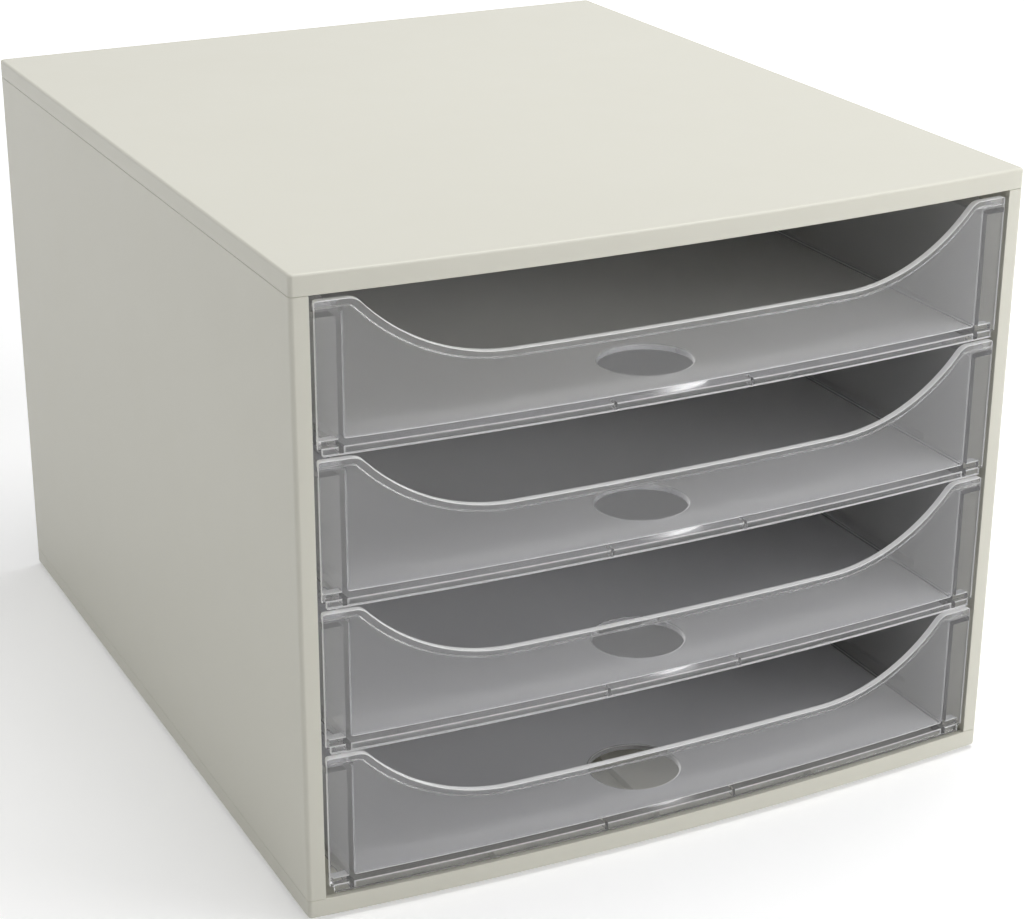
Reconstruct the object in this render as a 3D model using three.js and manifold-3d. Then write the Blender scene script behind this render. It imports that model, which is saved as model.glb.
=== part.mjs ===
// Desktop file unit with four drawers, for paper a little larger than A4.
// A moulded casing of cover, base, two side panels and a back panel holds four clear drawers.
// Each drawer hangs by its side flanges in channels of the side panels and slides out to the front.
// Millimetres, +Z up, the front towards -Y. The origin is the middle of the footprint under the feet.

import * as THREE from "three";
import { mergeVertices, toCreasedNormals } from "three/addons/utils/BufferGeometryUtils.js";
import Module from "manifold-3d";

const wasm = await Module();
wasm.setup();

// Casing
const casingWidth = 284;
const sideDepth = 331; // from a front corner to the back
const frontBow = 6.5; // the middle of the front stands this far ahead of its corners
const casingHeight = 235.2; // base, side panels and cover, without the feet
const casingWall = 2.2;
const coverRim = 7.5; // height of the rim of the cover
const baseRim = 7.2; // height of the rim of the base
const edgeRound = 1.1; // rounding of the outer edges of cover and base
const cornerRound = 1.6; // rounding of the four upright corners
const fitGap = 0.3; // clearance between casing pieces that slot into each other
const tongueWall = 2; // tongues of the side panels that stand in the cover and the base
const ribWall = 1.6;
const longRibHeight = 3; // ribs from front to back inside the cover and the base
const longRibCount = 5;
const crossRibHeight = 2.2; // ribs from side to side there
const crossRibCount = 4;

// Side panels
const postThickness = 6.5; // the front edge of a side panel, seen from the front
const frontPostDepth = 39;
const rearPostDepth = 11;
const gussetSize = 12; // slanted web under a channel, behind the front post
const ledgeWall = 2; // the ledge that a drawer flange slides on
const guideWall = 1.8; // the rib over the flange that keeps a drawer from tipping
const channelStart = 26; // from the front corners to the front end of a channel
const ledgeReach = 13.7; // from the outside of the casing to the inner edge of a ledge
const guideReach = 12.6; // the same for a guide rib
const stopLength = 6; // stop nub at the front end of a channel
const stopHeight = 2.4; // height of that nub, and of the bump on the flange that meets it
const channelHeight = 5; // between a ledge and its guide rib

// Back panel
const grooveDepth = 3; // groove in the rear posts that holds the back panel
const backRibCount = 3;

// Drawers
const drawerCount = 4;
const drawerGap = 1.45; // between two drawer fronts
const lowestGap = 1.6; // between the base and the lowest drawer front
const highestGap = 2.15; // between the highest drawer front and the cover
const frontSideGap = 1.6; // between a drawer front and the side panels
const frontWall = 2;
const lipDepth = 2.8; // thickened lip along the upper edge of the front, front to back
const lipBand = 2.8; // height of that lip
const cutDepth = 25; // the cut-out is this much lower than the shoulders
const shoulderLength = 11.2; // level stretch beside the cut-out
const cutRadius = 72; // concave sweep of the cut-out
const cutFillet = 6; // rounding between the sweep and the shoulder
const shoulderRound = 1;
const skirtHeight = 2.5; // narrower strip at the foot of the front
const skirtInset = 1.6;
const shelfDepth = 3; // the floor reaches out past the side walls this far behind the front
const floorWall = 2.4;
const floorLift = 2.6; // from the foot of the skirt to the underside of the floor
const trayInset = 15.6; // from the outside of the casing to the outside of a tray wall
const trayWall = 1.8;
const trayDepth = 322; // from the front corners of the casing to the back of the tray
const coveRadius = 1.2; // between floor and walls
const flangeDrop = 4; // from the shoulders to the top of a flange
const flangeWall = 1.8;
const flangeWidth = 7.6; // beyond the side wall
const flangeRound = 1.1; // rounded inner edge where side wall and flange meet
const thumbHoleWidth = 34.5;
const thumbHoleDepth = 32.2;
const thumbHoleSetback = 23.4; // from the front corners to the middle of the hole
const skirtRibSpan = 54; // between the two ribs behind the skirt
const skirtRibWall = 1.2;
const skirtRibLength = 9;
const travel = 240; // how far a drawer slides out before its bumps meet the stop nubs
const bumpLength = 8;

// Feet
const footRadius = 9;
const footThickness = 2.6;
const footRecess = 1.2;
const footInset = 26; // from the outside of the casing to the middle of a foot
const footRound = 0.5;

// Fineness of curves, and lengths that only serve cutting and joining
const curveSteps = 6;
const smallCurveSteps = 3;
const overrun = 4;
const weldDistance = 1e-4;
const creaseAngle = Math.PI / 7;

// Places that follow from the sizes above
const halfWidth = casingWidth / 2;
const backY = (sideDepth + frontBow) / 2;
const cornerY = backY - sideDepth;
const bowRadius = (halfWidth ** 2 + frontBow ** 2) / (2 * frontBow);
const bowCentreY = cornerY - frontBow + bowRadius;
const footProud = footThickness - footRecess;
const baseBottom = footProud;
const sideBottom = baseBottom + baseRim;
const coverTop = baseBottom + casingHeight;
const sideTop = coverTop - coverRim;
const skinInside = halfWidth - casingWall;
const openingHalf = halfWidth - postThickness;
const tongueOutside = skinInside - fitGap;
const tongueInside = tongueOutside - tongueWall;
const frontHalf = openingHalf - frontSideGap;
const trayHalf = halfWidth - trayInset;
const gapsHeight = lowestGap + highestGap + (drawerCount - 1) * drawerGap;
const drawerHeight = (sideTop - sideBottom - gapsHeight) / drawerCount; // skirt to shoulders
const floorTop = floorLift + floorWall;
const flangeTop = drawerHeight - flangeDrop;
const flangeBottom = flangeTop - flangeWall;
const trayBackY = cornerY + trayDepth;
const ledgeTop = flangeBottom - fitGap;
const channelFrontY = cornerY + channelStart;
const channelBackY = trayBackY + fitGap;
const backPanelBackY = backY - casingWall - fitGap; // just inside the rims of base and cover
const backPanelFrontY = backPanelBackY - casingWall;

function drawerBottom(index) {
  return sideBottom + lowestGap + (drawerCount - 1 - index) * (drawerHeight + drawerGap);
}

// A closed geometry as a solid that can be joined and cut.
function solidOf(geometry) {
  geometry.deleteAttribute("normal");
  geometry.deleteAttribute("uv");
  const merged = mergeVertices(geometry, weldDistance);
  const vertProperties = new Float32Array(merged.attributes.position.array);
  const triVerts = new Uint32Array(merged.index.array);
  return new wasm.Manifold(new wasm.Mesh({ numProp: 3, vertProperties, triVerts }));
}

function joined(solids) {
  return solids.reduce((whole, solid) => whole.add(solid));
}

// The other way round: a solid as a named mesh with crisp edges.
function meshOf(name, solid, material) {
  const { vertProperties, triVerts } = solid.getMesh();
  const geometry = new THREE.BufferGeometry();
  geometry.setAttribute("position", new THREE.BufferAttribute(vertProperties, 3));
  geometry.setIndex(new THREE.BufferAttribute(triVerts, 1));
  const mesh = new THREE.Mesh(toCreasedNormals(geometry, creaseAngle), material);
  mesh.name = name;
  return mesh;
}

function block(x0, x1, y0, y1, z0, z1) {
  const geometry = new THREE.BoxGeometry(Math.abs(x1 - x0), y1 - y0, z1 - z0);
  return solidOf(geometry.translate((x0 + x1) / 2, (y0 + y1) / 2, (z0 + z1) / 2));
}

function extruded(shape, depth, curveSegments) {
  return new THREE.ExtrudeGeometry(shape, { depth, curveSegments, bevelEnabled: false });
}

// An outline in X and Y, raised from one height to another.
function upright(shape, low, high, steps = curveSteps) {
  return solidOf(extruded(shape, high - low, steps).translate(0, 0, low));
}

// An outline in X and Z, drawn out from front to back.
function frontToBack(shape, front, back, steps = curveSteps) {
  const geometry = extruded(shape, back - front, steps);
  return solidOf(geometry.rotateX(Math.PI / 2).translate(0, back, 0));
}

// An outline in Y and Z, drawn out from one side towards the other.
function sideToSide(shape, left, right, steps = curveSteps) {
  const geometry = extruded(shape, right - left, steps);
  return solidOf(geometry.rotateX(Math.PI / 2).rotateZ(Math.PI / 2).translate(left, 0, 0));
}

function polygon(points) {
  return new THREE.Shape(points.map(([u, v]) => new THREE.Vector2(u, v)));
}

// Where the bowed front lies at a distance x from the middle, some way behind its outer surface.
function bowY(x, behind = 0) {
  return bowCentreY - Math.sqrt((bowRadius - behind) ** 2 - x ** 2);
}

// Plan of the casing, or of its inside: straight sides and back, bowed front, rounded corners.
function casingPlan(inset, round) {
  const half = halfWidth - inset;
  const back = backY - inset;
  const front = bowY(half, inset);
  const radius = bowRadius - inset;
  const reach = Math.asin((half - round) / radius);
  const shape = new THREE.Shape();
  shape.moveTo(half - round, back);
  shape.lineTo(-half + round, back);
  shape.quadraticCurveTo(-half, back, -half, back - round);
  shape.lineTo(-half, front + round);
  shape.quadraticCurveTo(-half, front, -half + round, bowY(half - round, inset));
  shape.absarc(0, bowCentreY, radius, -Math.PI / 2 - reach, -Math.PI / 2 + reach, false);
  shape.quadraticCurveTo(half, front, half, front + round);
  shape.lineTo(half, back - round);
  shape.quadraticCurveTo(half, back, half - round, back);
  return shape;
}

// Plan of what lies behind the bowed surface, with square corners: for what a drawer is made of.
function bowedPlan(half, behind, back) {
  const radius = bowRadius - behind;
  const reach = Math.asin(half / radius);
  const shape = new THREE.Shape();
  shape.moveTo(half, back);
  shape.lineTo(-half, back);
  shape.absarc(0, bowCentreY, radius, -Math.PI / 2 - reach, -Math.PI / 2 + reach, false);
  shape.closePath();
  return shape;
}

// A tray-shaped moulding of the casing, its plate at the bottom: rim, rounded edge and ribs.
function casingTray(rim) {
  const rounded = new THREE.ExtrudeGeometry(casingPlan(0, cornerRound), {
    depth: rim,
    curveSegments: curveSteps,
    bevelThickness: edgeRound,
    bevelSize: edgeRound,
    bevelOffset: -edgeRound,
    bevelSegments: smallCurveSteps,
  });
  const outside = solidOf(rounded.translate(0, 0, edgeRound));
  const above = upright(casingPlan(-overrun, cornerRound), rim, rim + overrun);
  const hollow = upright(casingPlan(casingWall, cornerRound / 2), casingWall, rim + overrun);
  return outside.subtract(above).subtract(hollow).add(trayRibs());
}

// Stiffening ribs on the inside of the plate, clear of the tongues that stand along its sides.
function trayRibs() {
  const half = tongueInside - fitGap - ribWall;
  const back = backPanelFrontY - fitGap;
  const front = bowY(half, casingWall + fitGap + tongueWall);
  const root = casingWall / 2;
  const longTop = casingWall + longRibHeight;
  const crossTop = casingWall + crossRibHeight;
  const ribs = [];
  for (let i = 0; i < longRibCount; i++) {
    const x = half * ((2 * i) / (longRibCount - 1) - 1);
    ribs.push(block(x - ribWall / 2, x + ribWall / 2, front, back, root, longTop));
  }
  for (let i = 0; i < crossRibCount; i++) {
    const y = front + ((back - front) * (i + 1)) / (crossRibCount + 1);
    ribs.push(block(-half, half, y - ribWall / 2, y + ribWall / 2, root, crossTop));
  }
  return joined(ribs);
}

// The cover is the same kind of tray, turned over onto the side panels.
function cover() {
  const mesh = meshOf("top_cover", casingTray(coverRim), casingPlastic());
  mesh.rotation.y = Math.PI;
  mesh.position.z = coverTop;
  return mesh;
}

function footPlaces() {
  const places = [];
  for (const [end, y] of [["front", cornerY + footInset], ["rear", backY - footInset]]) {
    for (const [side, x] of [["left", -halfWidth + footInset], ["right", halfWidth - footInset]]) {
      places.push({ name: `foot_${end}_${side}`, x, y });
    }
  }
  return places;
}

// A round solid about the upright line through x and y.
function disc(x, y, radius, low, high) {
  const shape = new THREE.Shape();
  shape.absarc(x, y, radius, 0, 2 * Math.PI, false);
  return upright(shape, low, high, 2 * curveSteps);
}

// The base has a cupped recess over each foot.
function base() {
  let solid = casingTray(baseRim);
  for (const { x, y } of footPlaces()) {
    const cup = footRadius + fitGap + casingWall;
    solid = solid.add(disc(x, y, cup, casingWall / 2, footRecess + casingWall));
    solid = solid.subtract(disc(x, y, footRadius + fitGap, -overrun, footRecess));
  }
  const mesh = meshOf("base", solid, casingPlastic());
  mesh.position.z = baseBottom;
  return mesh;
}

// A side panel. Side is -1 on the left and 1 on the right, and distances are from the middle plane.
function sidePanel(name, side) {
  const along = (inner, outer, front, back, low, high) =>
    block(side * inner, side * outer, front, back, low, high);
  const frontY = cornerY - frontBow;
  const skin = along(skinInside, halfWidth, frontY, backY, sideBottom, sideTop);
  const frontPost = along(openingHalf, halfWidth, frontY, cornerY + frontPostDepth, sideBottom, sideTop);
  const rearPost = along(openingHalf, halfWidth, backY - rearPostDepth, backY, sideBottom, sideTop);
  const channels = joined(drawerIndexes().map((index) => channel(along, drawerBottom(index))));
  const pocket = along(
    openingHalf + casingWall, skinInside,
    cornerY + casingWall, cornerY + frontPostDepth + overrun,
    sideBottom + casingWall, sideTop - casingWall,
  );
  const gussets = joined(drawerIndexes().map((index) => gusset(side, drawerBottom(index))));
  const groove = along(
    openingHalf - overrun, openingHalf + grooveDepth,
    backPanelFrontY - fitGap, backPanelBackY + fitGap,
    sideBottom - overrun, sideTop + overrun,
  );
  const outline = upright(casingPlan(0, cornerRound), sideBottom, sideTop);
  const panel = joined([skin, frontPost, rearPost, channels]).intersect(outline);
  const solid = panel.subtract(pocket).add(gussets).add(tongues(along)).subtract(groove);
  return meshOf(name, solid, casingPlastic());
}

// Shelves at the top and the bottom of a side panel carry the tongues that enter cover and base.
function tongues(along) {
  const front = cornerY + casingWall + fitGap;
  const back = backPanelFrontY - 2 * fitGap;
  const top = coverTop - casingWall;
  const bottom = baseBottom + casingWall;
  return joined([
    along(tongueInside, halfWidth - casingWall / 2, front + overrun, back, sideTop - tongueWall, sideTop),
    along(tongueInside, tongueOutside, front, back, sideTop - tongueWall, top),
    along(tongueInside, halfWidth - casingWall / 2, front + overrun, back, sideBottom, sideBottom + tongueWall),
    along(tongueInside, tongueOutside, front, back, bottom, sideBottom + tongueWall),
  ]);
}

// One channel: the ledge, the guide rib, the stop nub at the front and the end wall at the back.
function channel(along, bottom) {
  const inner = halfWidth - ledgeReach;
  const guideInner = halfWidth - guideReach;
  const outer = halfWidth - casingWall / 2;
  const ledge = bottom + ledgeTop;
  const guide = ledge + channelHeight;
  const back = channelBackY + casingWall;
  return joined([
    along(inner, outer, channelFrontY, back, ledge - ledgeWall, ledge),
    along(guideInner, outer, channelFrontY, back, guide, guide + guideWall),
    along(guideInner, outer, channelFrontY, channelFrontY + stopLength, guide - stopHeight, guide),
    along(inner, outer, channelBackY, back, ledge, guide),
  ]);
}

// The slanted web that carries a ledge off the front post.
function gusset(side, bottom) {
  const rear = cornerY + frontPostDepth - casingWall;
  const under = bottom + ledgeTop - ledgeWall / 2;
  const web = polygon([
    [rear, under],
    [rear, under - gussetSize - casingWall],
    [rear + casingWall, under - gussetSize],
    [rear + casingWall + gussetSize, under],
  ]);
  const xs = [side * openingHalf, side * (openingHalf + casingWall)].sort((a, b) => a - b);
  return sideToSide(web, xs[0], xs[1]);
}

// The back panel slides into the grooves of the rear posts and stands in base and cover.
function backPanel() {
  const half = openingHalf + grooveDepth - fitGap;
  const bottom = baseBottom + casingWall;
  const top = coverTop - casingWall;
  const inside = openingHalf - fitGap;
  const plate = block(-half, half, backPanelFrontY, backPanelBackY, sideBottom + fitGap, sideTop - fitGap);
  const tongue = block(-inside, inside, backPanelFrontY, backPanelBackY, bottom, top);
  const ribs = [];
  for (let i = 0; i < backRibCount; i++) {
    const x = inside * ((2 * (i + 1)) / (backRibCount + 1) - 1);
    const front = backPanelFrontY - ribWall;
    ribs.push(block(x - ribWall / 2, x + ribWall / 2, front, backPanelBackY - ribWall, sideBottom, sideTop));
  }
  return meshOf("back_panel", joined([plate, tongue, ...ribs]), casingPlastic());
}

// Outline of a drawer front in X and Z, its upper edge lowered by the given amount.
function frontOutline(lowered) {
  const sweep = Math.acos(1 - cutDepth / (cutRadius + cutFillet));
  const shoulderX = frontHalf - shoulderLength;
  const flatHalf = shoulderX - (cutRadius + cutFillet) * Math.sin(sweep);
  const sweepCentreZ = drawerHeight - cutDepth + cutRadius;
  const shoulderZ = drawerHeight - lowered;
  const fillet = cutFillet - lowered;
  const skirtHalf = frontHalf - skirtInset;
  const up = Math.PI / 2;
  const shape = new THREE.Shape();
  shape.moveTo(-skirtHalf, 0);
  shape.lineTo(skirtHalf, 0);
  shape.lineTo(skirtHalf, skirtHeight);
  shape.lineTo(frontHalf, skirtHeight);
  shape.lineTo(frontHalf, shoulderZ - shoulderRound);
  shape.lineTo(frontHalf - shoulderRound, shoulderZ);
  shape.lineTo(shoulderX, shoulderZ);
  shape.absarc(shoulderX, drawerHeight - cutFillet, fillet, up, up + sweep, false);
  shape.absarc(flatHalf, sweepCentreZ, cutRadius + lowered, sweep - up, -up, true);
  shape.absarc(-flatHalf, sweepCentreZ, cutRadius + lowered, -up, -up - sweep, true);
  shape.absarc(-shoulderX, drawerHeight - cutFillet, fillet, up - sweep, up, false);
  shape.lineTo(-frontHalf + shoulderRound, shoulderZ);
  shape.lineTo(-frontHalf, shoulderZ - shoulderRound);
  shape.lineTo(-frontHalf, skirtHeight);
  shape.lineTo(-skirtHalf, skirtHeight);
  shape.closePath();
  return shape;
}

// A strip behind the bowed front surface, as thick as given.
function bowedStrip(thickness) {
  const outer = upright(bowedPlan(frontHalf, 0, cornerY + lipDepth), 0, drawerHeight);
  const inner = upright(bowedPlan(frontHalf + overrun, thickness, backY), -overrun, drawerHeight + overrun);
  return outer.subtract(inner);
}

// The front of a drawer: a bowed plate, thickened along the upper edge.
function drawerFront() {
  const front = cornerY - frontBow - overrun;
  const back = cornerY + lipDepth + overrun;
  const whole = frontToBack(frontOutline(0), front, back);
  const belowLip = frontToBack(frontOutline(lipBand), front - overrun, back + overrun);
  const plate = bowedStrip(frontWall).intersect(whole);
  const lip = bowedStrip(lipDepth).intersect(whole.subtract(belowLip));
  return plate.add(lip);
}

// Section of the tray in X and Z: floor, coves, side walls and the flanges that slide in the channels.
function traySection() {
  const inner = trayHalf - trayWall;
  const tip = trayHalf + flangeWidth;
  const shape = new THREE.Shape();
  shape.moveTo(inner, 0);
  shape.lineTo(trayHalf, 0);
  shape.lineTo(trayHalf, flangeBottom);
  shape.lineTo(tip, flangeBottom);
  shape.lineTo(tip, flangeTop);
  shape.lineTo(inner + flangeRound, flangeTop);
  shape.quadraticCurveTo(inner, flangeTop, inner, flangeTop - flangeRound);
  shape.lineTo(inner, floorTop + coveRadius);
  shape.quadraticCurveTo(inner, floorTop, inner - coveRadius, floorTop);
  shape.lineTo(-inner + coveRadius, floorTop);
  shape.quadraticCurveTo(-inner, floorTop, -inner, floorTop + coveRadius);
  shape.lineTo(-inner, flangeTop - flangeRound);
  shape.quadraticCurveTo(-inner, flangeTop, -inner - flangeRound, flangeTop);
  shape.lineTo(-tip, flangeTop);
  shape.lineTo(-tip, flangeBottom);
  shape.lineTo(-trayHalf, flangeBottom);
  shape.lineTo(-trayHalf, 0);
  shape.lineTo(-inner, 0);
  shape.lineTo(-inner, floorLift);
  shape.lineTo(inner, floorLift);
  shape.closePath();
  return shape;
}

// The back wall of the tray, with a cove along the floor.
function trayBackSection() {
  const inside = trayBackY - trayWall;
  const shape = new THREE.Shape();
  shape.moveTo(trayBackY, 0);
  shape.lineTo(trayBackY, flangeTop);
  shape.lineTo(inside, flangeTop);
  shape.lineTo(inside, floorTop + coveRadius);
  shape.quadraticCurveTo(inside, floorTop, inside - coveRadius, floorTop);
  shape.lineTo(inside - coveRadius, floorLift);
  shape.lineTo(inside, floorLift);
  shape.lineTo(inside, 0);
  shape.closePath();
  return shape;
}

// The oval hole behind the front, where a finger lifts the papers.
function thumbHole() {
  const shape = new THREE.Shape();
  const halfLength = thumbHoleDepth / 2;
  shape.absellipse(0, cornerY + thumbHoleSetback, thumbHoleWidth / 2, halfLength, 0, 2 * Math.PI, false, 0);
  return upright(shape, -overrun, floorTop + overrun, 2 * curveSteps);
}

// A bump on each flange meets the stop nub of its channel when the drawer is out.
function stopBumps() {
  const front = channelFrontY + stopLength + travel + fitGap;
  const inner = halfWidth - guideReach;
  const tip = trayHalf + flangeWidth;
  const root = flangeTop - flangeWall / 2;
  const top = flangeTop + stopHeight;
  return [-1, 1].map((side) => block(side * inner, side * tip, front, front + bumpLength, root, top));
}

// Two short ribs tie the skirt of the front to the floor.
function skirtRibs() {
  const front = bowY(0, frontWall / 2);
  return [-1, 1].map((side) => {
    const x = (side * skirtRibSpan) / 2;
    const half = skirtRibWall / 2;
    return block(x - half, x + half, front, front + skirtRibLength, 0, floorTop - floorWall / 2);
  });
}

// At the height of the floor a shelf behind the front reaches from side to side.
function frontShelf() {
  const half = frontHalf - skirtInset;
  return block(-half, half, cornerY - frontBow, cornerY + frontWall + shelfDepth, floorLift, floorTop);
}

// One drawer, moulded in one piece.
function drawerSolid() {
  const behindFront = upright(bowedPlan(frontHalf, frontWall / 2, trayBackY), -overrun, drawerHeight);
  const tray = frontToBack(traySection(), cornerY - frontBow, trayBackY, smallCurveSteps);
  const back = sideToSide(trayBackSection(), -trayHalf, trayHalf, smallCurveSteps);
  const behind = tray.add(frontShelf()).intersect(behindFront);
  const body = joined([behind, back, drawerFront(), ...stopBumps(), ...skirtRibs()]);
  return body.subtract(thumbHole());
}

function drawerIndexes() {
  return Array.from({ length: drawerCount }, (_, index) => index);
}

function drawers() {
  const solid = drawerSolid();
  return drawerIndexes().map((index) => {
    const mesh = meshOf(`drawer_${index + 1}`, solid, clearPlastic());
    mesh.position.z = drawerBottom(index);
    return mesh;
  });
}

// A round rubber pad with a rounded lower edge, pressed into a recess of the base.
function foot({ name, x, y }) {
  const profile = [
    [0, 0],
    [footRadius - footRound, 0],
    [footRadius, footRound],
    [footRadius, footThickness],
    [0, footThickness],
  ].map(([radius, height]) => new THREE.Vector2(radius, height));
  const geometry = new THREE.LatheGeometry(profile, 4 * curveSteps).rotateX(Math.PI / 2);
  const mesh = meshOf(name, solidOf(geometry), footRubber());
  mesh.position.set(x, y, 0);
  return mesh;
}

function casingPlastic() {
  return new THREE.MeshStandardMaterial({ color: 0xdddccf, roughness: 0.42, metalness: 0 });
}

function clearPlastic() {
  return new THREE.MeshStandardMaterial({
    color: 0xb9bcbe,
    roughness: 0.08,
    metalness: 0,
    transparent: true,
    opacity: 0.45,
  });
}

function footRubber() {
  return new THREE.MeshStandardMaterial({ color: 0x2b2b2b, roughness: 0.85, metalness: 0 });
}

const group = new THREE.Group();
group.add(base(), cover());
group.add(sidePanel("left_side_panel", -1), sidePanel("right_side_panel", 1));
group.add(backPanel());
group.add(...footPlaces().map(foot));
group.add(...drawers());

export default group;
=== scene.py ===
# Desktop file unit with four drawers for office paper, in metres, its front towards -Y.
# The casing is moulded in five pieces: base, two side panels, back panel and cover.
# Four clear drawers hang in the side panels by their flanges and slide out to the front.

import math

import bpy
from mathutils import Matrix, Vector


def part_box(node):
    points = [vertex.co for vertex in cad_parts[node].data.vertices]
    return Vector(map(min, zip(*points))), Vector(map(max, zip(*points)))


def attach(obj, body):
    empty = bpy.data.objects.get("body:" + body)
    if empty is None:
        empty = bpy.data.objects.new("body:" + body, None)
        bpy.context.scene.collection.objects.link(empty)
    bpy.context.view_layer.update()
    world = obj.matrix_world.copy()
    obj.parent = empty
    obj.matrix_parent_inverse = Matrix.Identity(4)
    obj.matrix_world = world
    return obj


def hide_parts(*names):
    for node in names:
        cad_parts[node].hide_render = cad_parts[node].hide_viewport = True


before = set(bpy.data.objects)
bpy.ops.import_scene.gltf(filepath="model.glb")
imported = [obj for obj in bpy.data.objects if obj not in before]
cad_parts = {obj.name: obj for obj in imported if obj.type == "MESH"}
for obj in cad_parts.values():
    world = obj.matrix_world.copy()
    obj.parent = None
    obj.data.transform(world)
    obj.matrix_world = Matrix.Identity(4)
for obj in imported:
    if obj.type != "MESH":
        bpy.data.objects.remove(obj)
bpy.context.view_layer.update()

# Base and cover: two shallow trays of cream polystyrene that close the casing below and above.
# Each is moulded in one piece, with a bowed front edge, rounded outer edges and ribs inside.
# The base stands on the feet, and the cover is the same kind of tray turned over.

mm = 0.001
base_low, base_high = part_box("base")
cover_low, cover_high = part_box("top_cover")
half_width = base_high.x
back_y = base_high.y
bow_apex_y = base_low.y
front_bow = 6.5 * mm
corner_y = bow_apex_y + front_bow
bow_radius = (half_width**2 + front_bow**2) / (2 * front_bow)
bow_centre_y = bow_apex_y + bow_radius
casing_wall = 2.2 * mm
corner_round = 1.6 * mm
edge_round = 1.1 * mm
seam_round = 0.35 * mm
small_round = 0.3 * mm
rib_wall = 1.6 * mm
long_rib_height = 3 * mm
cross_rib_height = 2.2 * mm
long_ribs = 5
cross_ribs = 4
rib_clearance = 5 * mm
overrun = 4 * mm
weld = 0.01 * mm
fine_weld = weld / 50
bow_steps = 64
corner_steps = 6
edge_steps = 5
small_steps = 2
sharp_angle = math.radians(28)
facing = 0.9


def edit(piece):
    """Opens one piece alone in edit mode."""
    if bpy.context.object and bpy.context.object.mode != "OBJECT":
        bpy.ops.object.mode_set(mode="OBJECT")
    bpy.ops.object.select_all(action="DESELECT")
    piece.select_set(True)
    bpy.context.view_layer.objects.active = piece
    bpy.ops.object.mode_set(mode="EDIT")


def close_edit():
    bpy.ops.object.mode_set(mode="OBJECT")


def select_where(piece, kind, wanted):
    """Selects a piece's corners, edges or faces by place: wanted takes the middle and the item."""
    edit(piece)
    bpy.ops.mesh.select_mode(type=kind)
    bpy.ops.mesh.select_all(action="DESELECT")
    bpy.ops.object.mode_set(mode="OBJECT")
    mesh = piece.data
    if kind == "FACE":
        for face in mesh.polygons:
            face.select = wanted(face.center, face)
    elif kind == "EDGE":
        for side in mesh.edges:
            ends = [mesh.vertices[i].co for i in side.vertices]
            side.select = wanted((ends[0] + ends[1]) / 2, side)
    else:
        for corner in mesh.vertices:
            corner.select = wanted(corner.co, corner)
    bpy.ops.object.mode_set(mode="EDIT")


def pen_down(name, x, y, z):
    """Starts an outline: a new piece that is a single point, open in edit mode."""
    bpy.ops.object.select_all(action="DESELECT")
    bpy.ops.mesh.primitive_plane_add(size=mm)
    piece = bpy.context.object
    piece.name = name
    bpy.ops.object.mode_set(mode="EDIT")
    bpy.ops.mesh.select_mode(type="VERT")
    bpy.ops.mesh.select_all(action="SELECT")
    bpy.ops.mesh.merge(type="CENTER")
    bpy.ops.transform.translate(value=(x, y, z))
    return piece


def pen_line(dx, dy, dz, steps=1):
    """Draws on from the last point, straight, in equal steps."""
    for _ in range(steps):
        move = {"value": (dx / steps, dy / steps, dz / steps)}
        bpy.ops.mesh.extrude_vertices_move(TRANSFORM_OT_translate=move)


def pen_arc(centre, axis, angle, steps):
    """Draws on from the last point, round a centre."""
    bpy.ops.mesh.spin(steps=steps, angle=angle, center=centre, axis=axis)


def fill_outline():
    """Closes the outline into one face."""
    bpy.ops.mesh.select_all(action="SELECT")
    bpy.ops.mesh.remove_doubles(threshold=weld)
    bpy.ops.mesh.edge_face_add()


def pull(dx, dy, dz):
    """Extrudes the selected faces or edges by one move."""
    bpy.ops.mesh.extrude_region_move(TRANSFORM_OT_translate={"value": (dx, dy, dz)})


def face_out():
    """Merges doubled corners and turns every face outwards."""
    bpy.ops.mesh.select_all(action="SELECT")
    bpy.ops.mesh.remove_doubles(threshold=weld)
    bpy.ops.mesh.normals_make_consistent(inside=False)


def straight_outline(name, points):
    """Draws straight lines from point to point and back to the first, and fills them."""
    piece = pen_down(name, *points[0])
    for here, there in zip(points, points[1:] + points[:1]):
        pen_line(*(end - start for start, end in zip(here, there)))
    fill_outline()
    return piece


def bowed_outline(name, half, apex_y, back, low):
    """The plan of what lies behind the bowed front: an arc, two sides and a straight back."""
    radius = bow_centre_y - apex_y
    reach = math.asin(half / radius)
    side_y = bow_centre_y - math.sqrt(radius**2 - half**2)
    piece = pen_down(name, -half, side_y, low)
    pen_arc((0, bow_centre_y, low), (0, 0, 1), -2 * reach, bow_steps)
    pen_line(0, back - side_y, 0)
    pen_line(-2 * half, 0, 0)
    pen_line(0, side_y - back, 0)
    fill_outline()
    return piece


def apply(piece, modifier):
    bpy.context.view_layer.objects.active = piece
    bpy.ops.object.modifier_apply(modifier=modifier.name)


def weld_corners(piece):
    """Merges corners that coincide, so that a solid stays closed."""
    edit(piece)
    bpy.ops.mesh.select_all(action="SELECT")
    bpy.ops.mesh.remove_doubles(threshold=fine_weld)
    bpy.ops.mesh.select_all(action="DESELECT")
    close_edit()


def combine(piece, other, operation="UNION", overlapping=False):
    """Joins another solid to a piece, or cuts it off, and uses it up."""
    close_edit()
    step = piece.modifiers.new("combine", "BOOLEAN")
    step.operation = operation
    step.object = other
    step.solver = "EXACT"
    step.use_self = overlapping
    apply(piece, step)
    bpy.data.objects.remove(other, do_unlink=True)
    weld_corners(piece)


def round_edges(piece, width, segments=small_steps):
    """Rounds every edge of a piece that is sharper than the facets of its curves."""
    close_edit()
    step = piece.modifiers.new("round", "BEVEL")
    step.width = width
    step.segments = segments
    step.limit_method = "ANGLE"
    step.angle_limit = sharp_angle
    step.use_clamp_overlap = True
    apply(piece, step)


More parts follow.
